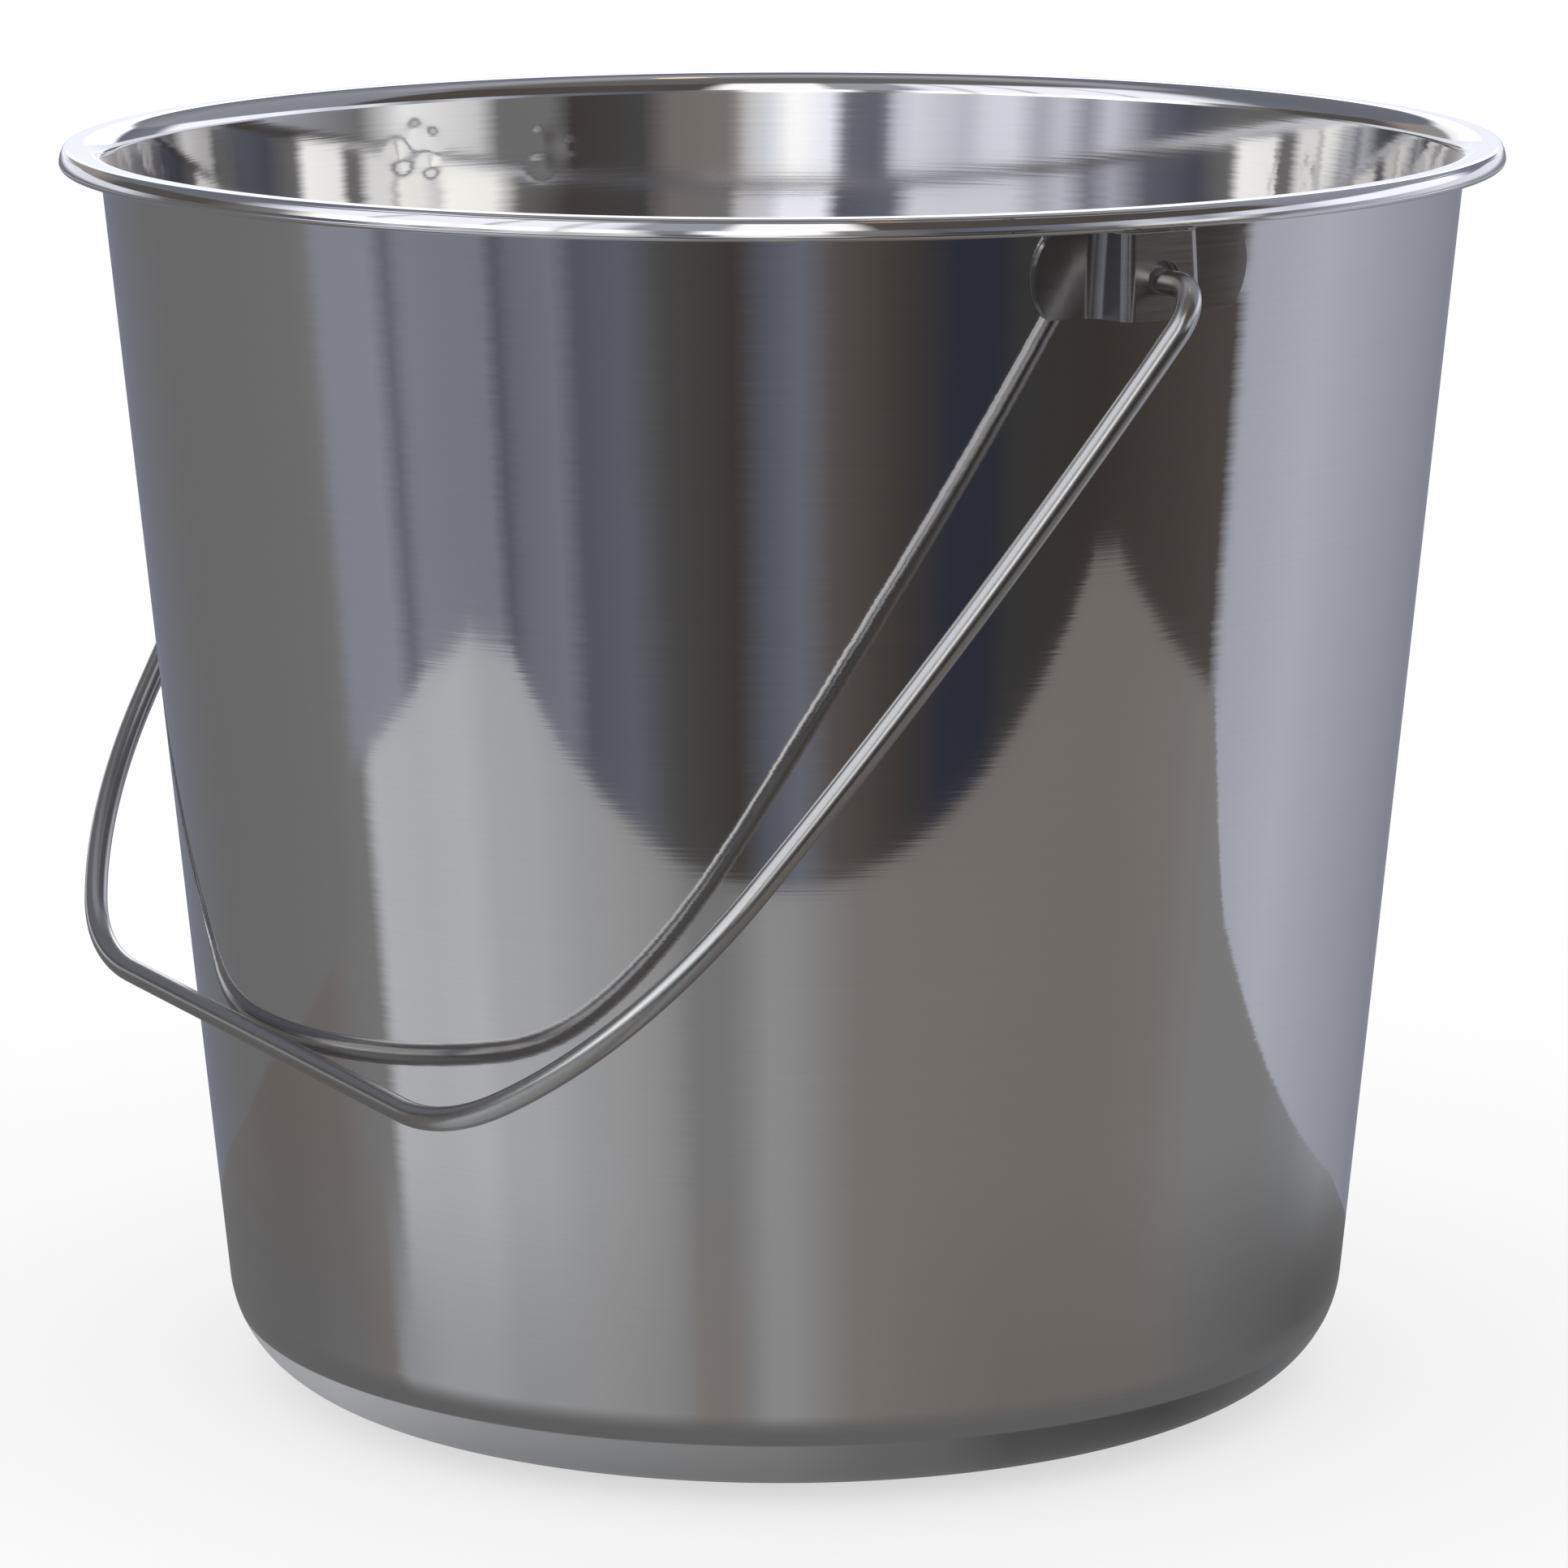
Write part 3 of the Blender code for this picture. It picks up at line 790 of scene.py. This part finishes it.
def build_world():
    """Soft panels all round for the steel to reflect, on a plain pale surround."""
    world = bpy.data.worlds.new("studio")
    bpy.context.scene.world = world
    world.use_nodes = True
    tree = world.node_tree
    background = tree.nodes["Background"]
    direction = node(tree, "ShaderNodeTexCoord").outputs["Generated"]
    parts = node(tree, "ShaderNodeSeparateXYZ")
    local = turned(tree, direction, -CAMERA_AZIMUTH)
    tree.links.new(local, parts.inputs[0])
    around = azimuth_of(tree, parts.outputs["X"], parts.outputs["Y"])
    rise = parts.outputs["Z"]
    rays = node(tree, "ShaderNodeLightPath")
    seen = colour_ramp(tree, around, BELOW)
    for ring, edge in ((LOW, LOW_EDGE), (UPPER, UPPER_EDGE)):
        share = smooth_step(tree, rise, edge)
        seen = blend_colours(tree, share, seen, colour_ramp(tree, around, ring))
    # The inside of the pail sees the set by way of its own opposite wall
    twice = maths(tree, "GREATER_THAN", rays.outputs["Ray Depth"], 1.5)
    for edge in (INSIDE_START, INSIDE_END):
        twice = maths(tree, "MULTIPLY", twice, smooth_step(tree, rise, edge))
    seen = blend_colours(tree, twice, seen, colour_ramp(tree, around, INSIDE, 2))
    front = smooth_step(tree, maths(tree, "MULTIPLY", parts.outputs["Y"], -1.0), CEILING_MIDDLE)
    ceiling = blend_colours(tree, front, light_colour(CEILING_BACK), light_colour(CEILING_FRONT))
    seen = blend_colours(tree, smooth_step(tree, rise, CEILING_EDGE), seen, ceiling)
    aim = node(tree, "ShaderNodeVectorMath", operation="DOT_PRODUCT")
    tree.links.new(local, aim.inputs[0])
    aim.inputs[1].default_value = LAMP_DIRECTION
    seen = blend_colours(tree, smooth_step(tree, aim.outputs["Value"], LAMP_EDGE), seen, LAMP_LIGHT)
    plain = blend_colours(tree, rays.outputs["Is Glossy Ray"], PLAIN_LIGHT, seen)
    tree.links.new(plain, background.inputs["Color"])


FLOOR_RADIUS = 40.0
FLOOR_COLOUR = (0.35, 0.35, 0.35, 1.0)
FLOOR_GLOW = 0.62
FLOOR_DROP = 0.0012


def build_floor():
    """A plain pale floor, wide enough to have no edge in any view."""
    mesh = bpy.data.meshes.new("floor")
    work = bmesh.new()
    bmesh.ops.create_circle(work, cap_ends=True, segments=96, radius=FLOOR_RADIUS)
    work.to_mesh(mesh)
    work.free()
    material = bpy.data.materials.new("floor_paint")
    material.use_nodes = True
    shader = material.node_tree.nodes["Principled BSDF"]
    shader.inputs["Base Color"].default_value = FLOOR_COLOUR
    shader.inputs["Emission Color"].default_value = (1.0, 1.0, 1.0, 1.0)
    shader.inputs["Emission Strength"].default_value = FLOOR_GLOW
    shader.inputs["Roughness"].default_value = 1.0
    shader.inputs["Specular IOR Level"].default_value = 0.0
    floor = link("floor", mesh, material)
    floor.location = (0.0, 0.0, -FLOOR_DROP)
    floor.visible_glossy = False
    return floor


# The table top round the pail that the steel reflects, in the set's own frame, and its panels of
# light near the pail, far from it and under it. Near and far, a panel's azimuth is the way the wall
# reflects it, which gets closer to its azimuth about the pail further out. Under the pail it is
# that azimuth itself.
TABLE = (
    (-0.505, -0.29), (-0.475, -0.375), (-0.41, -0.42), (0.52, -0.42), (0.555, -0.385),
    (0.56, -0.14), (0.40, -0.08), (0.20, 0.085), (0.0, 0.14), (-0.20, 0.12), (-0.30, 0.06),
    (-0.40, -0.10), (-0.505, -0.11),
)
WALL_RADIUS = 0.116
TABLE_NEAR = (
    (-180, 92, NEUTRAL), (-118, 96, NEUTRAL), (-100, 101, NEUTRAL), (-89, 106, WARM),
    (-85, 136, PALE), (-72, 148, PALE), (-62, 148, PALE), (-54, 141, PALE), (-46, 140, PALE),
    (-38, 139, NEUTRAL), (-30, 134, NEUTRAL), (-23, 129, NEUTRAL), (-19.5, 124, NEUTRAL),
    (-16.5, 114, WARM), (-11, 112, WARM), (-7, 119, NEUTRAL), (-3, 133, NEUTRAL), (1, 134, NEUTRAL),
    (6, 126, NEUTRAL), (13, 113, WARM), (22, 108, WARM), (45, 101, WARM), (62, 101, WARM),
    (80, 101, WARM), (93, 98, NEUTRAL), (112, 92, NEUTRAL), (140, 82, NEUTRAL), (180, 84, NEUTRAL),
)
TABLE_FAR = (
    (-180, 100, NEUTRAL), (-126, 94, WARM), (-100, 100, WARM), (-92, 109, NEUTRAL),
    (-84, 113, NEUTRAL), (-81, 172, PALE), (-70, 168, PALE), (-60, 171, PALE), (-55, 162, PALE),
    (-46, 159, PALE), (-38, 149, PALE), (-30, 144, NEUTRAL), (-22, 134, NEUTRAL),
    (-16.5, 115, NEUTRAL), (-11, 114, NEUTRAL), (-7, 124, NEUTRAL), (-3, 136, NEUTRAL),
    (1, 135, NEUTRAL), (6, 126, NEUTRAL), (13, 113, WARM), (24, 110, WARM), (60, 107, WARM),
    (75, 110, WARM), (87, 118, NEUTRAL), (110, 118, NEUTRAL), (124, 124, PALE), (143, 148, PALE),
    (180, 140, PALE),
)
TABLE_UNDER = (
    (-180, 120, PALE), (-90, 140, PALE), (-76, 148, PALE), (-60, 157, PALE), (-47, 150, PALE),
    (-35, 138, PALE), (-20, 128, PALE), (-6, 119, NEUTRAL), (0, 115, NEUTRAL), (8, 100, NEUTRAL),
    (18, 92, NEUTRAL), (25, 74, NEUTRAL), (47, 66, NEUTRAL), (60, 82, NEUTRAL), (90, 100, PALE),
    (180, 118, PALE),
)
# The soft shade at the pail's foot and in the middle under it, and the circle where the wall's
# reflection of the table gives way to the floor's round corner
SHADE_TONE = 92
MIDDLE_TONE = 90
UNDER_RADIUS = 0.1188
# Distances from the pail's axis between which one part of the table blends into the next
FAR_EDGE = (0.15, 0.28)
SHADE_EDGE = (0.124, 0.150)
MIDDLE_EDGE = (0.085, UNDER_RADIUS)
UNDER_EDGE = (UNDER_RADIUS - 0.0003, UNDER_RADIUS + 0.0006)
CARD_DROP = 0.0006


def table_colour(tree, x, y):
    """The glowing tone of the table card at a place on it, painted shade near and under the pail
    included.
    """
    around = azimuth_of(tree, x, y)
    square = maths(tree, "ADD", maths(tree, "MULTIPLY", x, x), maths(tree, "MULTIPLY", y, y))
    distance = maths(tree, "SQRT", square)
    # Twice the distance, over that less the wall's radius, turns one azimuth into the other
    twice = maths(tree, "MULTIPLY", distance, 2.0)
    stretch = maths(tree, "DIVIDE", twice, maths(tree, "SUBTRACT", twice, WALL_RADIUS))
    swing = maths(tree, "MULTIPLY", maths(tree, "SUBTRACT", around, 0.5), stretch)
    reflected = maths(tree, "ADD", swing, 0.5)
    near, far = [colour_ramp(tree, reflected, ring) for ring in (TABLE_NEAR, TABLE_FAR)]
    colour = blend_colours(tree, smooth_step(tree, distance, FAR_EDGE), near, far)
    # Painted shade round the pail's foot
    shade = light_colour(tone(SHADE_TONE))
    colour = blend_colours(tree, smooth_step(tree, distance, SHADE_EDGE), shade, colour)
    # Painted shade under the middle of the pail, then the painted light band under its corner
    middle = light_colour(tone(MIDDLE_TONE))
    below = colour_ramp(tree, around, TABLE_UNDER)
    under = blend_colours(tree, smooth_step(tree, distance, MIDDLE_EDGE), middle, below)
    return blend_colours(tree, smooth_step(tree, distance, UNDER_EDGE), under, colour)


def build_table():
    """A card that glows with the painted tones of a table top, painted shade at the pail's foot and
    under it included, seen only in the steel.
    """
    work = bmesh.new()
    work.faces.new([work.verts.new((x, y, 0.0)) for x, y in TABLE])
    mesh = bpy.data.meshes.new("table_card")
    work.to_mesh(mesh)
    work.free()
    material = bpy.data.materials.new("table_card")
    material.use_nodes = True
    tree = material.node_tree
    tree.nodes.remove(tree.nodes["Principled BSDF"])
    parts = node(tree, "ShaderNodeSeparateXYZ")
    tree.links.new(node(tree, "ShaderNodeTexCoord").outputs["Object"], parts.inputs[0])
    glow = node(tree, "ShaderNodeEmission")
    tree.links.new(table_colour(tree, parts.outputs["X"], parts.outputs["Y"]), glow.inputs["Color"])
    tree.links.new(glow.outputs["Emission"], tree.nodes["Material Output"].inputs["Surface"])
    card = link("table_card", mesh, material)
    card.location = (0.0, 0.0, -CARD_DROP)
    card.rotation_euler = (0.0, 0.0, CAMERA_AZIMUTH)
    card.visible_camera = False
    card.visible_diffuse = False
    card.visible_shadow = False
    card.visible_transmission = False
    return card


def build_camera():
    """The photograph's viewpoint."""
    data = bpy.data.cameras.new("camera")
    data.sensor_width = SENSOR_WIDTH
    data.lens = CAMERA_LENS
    data.clip_start, data.clip_end = CLIP_RANGE
    camera = bpy.data.objects.new("camera", data)
    bpy.context.scene.collection.objects.link(camera)
    place = Matrix.Translation((
        CAMERA_DISTANCE * math.sin(CAMERA_AZIMUTH),
        -CAMERA_DISTANCE * math.cos(CAMERA_AZIMUTH),
        CAMERA_HEIGHT,
    ))
    pitch = Matrix.Rotation(math.pi / 2 - CAMERA_PITCH, 4, "X")
    roll = Matrix.Rotation(CAMERA_ROLL, 4, "Z")
    camera.matrix_world = place @ Matrix.Rotation(CAMERA_AZIMUTH, 4, "Z") @ pitch @ roll
    bpy.context.scene.camera = camera


def main():
    """Make the pieces, put them on their bodies, and set the studio round them."""
    bpy.context.scene.view_settings.view_transform = "Standard"
    shell = build_body(steel("polished_wall"))
    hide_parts("pail_body")
    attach(shell, "pail")
    ear_steel = steel("pressed_ear")
    for name, turn in (("ear_right", 0.0), ("ear_left", math.pi)):
        piece = build_ear(name + "_strap", ear_steel, turn)
        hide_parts(name)
        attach(piece, "pail")
    bail = build_bail(steel("drawn_wire"))
    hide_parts("bail_handle")
    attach(bail, "bail")
    build_world()
    build_floor()
    build_table()
    build_camera()


main()
